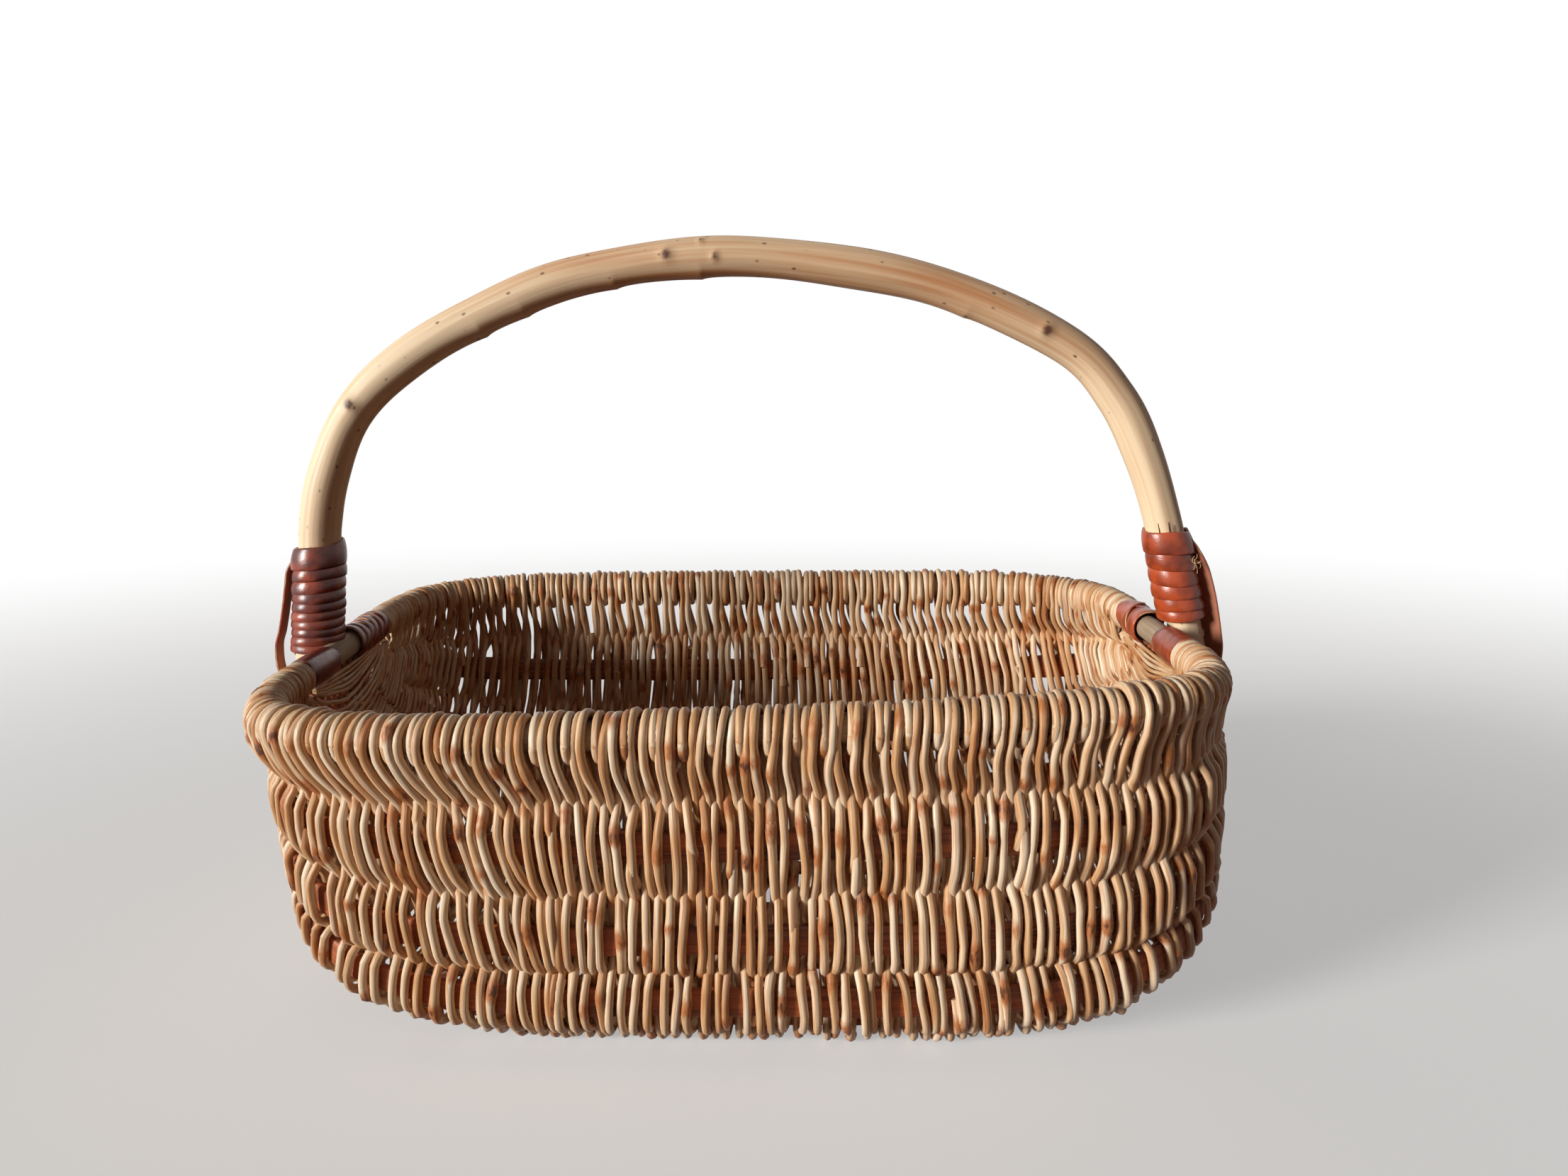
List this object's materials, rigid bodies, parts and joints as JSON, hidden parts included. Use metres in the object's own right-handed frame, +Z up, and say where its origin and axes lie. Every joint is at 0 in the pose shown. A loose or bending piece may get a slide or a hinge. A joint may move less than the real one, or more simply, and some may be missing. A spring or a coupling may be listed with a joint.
{
  "type": "wicker basket",
  "caption": "Oblong willow basket woven on a bent-rod rim and split-wood ribs, with a fixed arched rod handle lashed on with leather.",
  "frame": {"origin": "on the surface that the basket stands on, under the middle of its bounding box", "axes": "+X lengthwise along the handle, -Y the front as pictured, +Z up"},
  "size_m": [0.504, 0.315, 0.3705],
  "materials": {
    "willow": "matte",
    "split_lath": "matte",
    "bent_rod": "matte",
    "debarked_rod": "satin",
    "leather": "satin",
    "steel": "dull"
  },
  "bodies": {
    "root": {"rim_hoop": "bent_rod", "rib_01": "split_lath", "rib_02": "split_lath", "rib_03": "split_lath", "rib_04": "split_lath", "rib_05": "split_lath", "rib_06": "split_lath", "rib_07": "split_lath", "rib_08": "split_lath", "rib_09": "split_lath", "rib_10": "split_lath", "rib_11": "split_lath", "weave_outer": "willow", "weave_inner": "willow", "rim_wrap_front": "willow", "rim_wrap_back": "willow", "handle": "debarked_rod", "leg_lashing_left": "leather", "rim_lashing_left_front": "leather", "rim_lashing_left_back": "leather", "strap_left": "leather", "nail_left": "steel", "leg_lashing_right": "leather", "rim_lashing_right_front": "leather", "rim_lashing_right_back": "leather", "strap_right": "leather", "nail_right": "steel"}
  },
  "joints": []
}
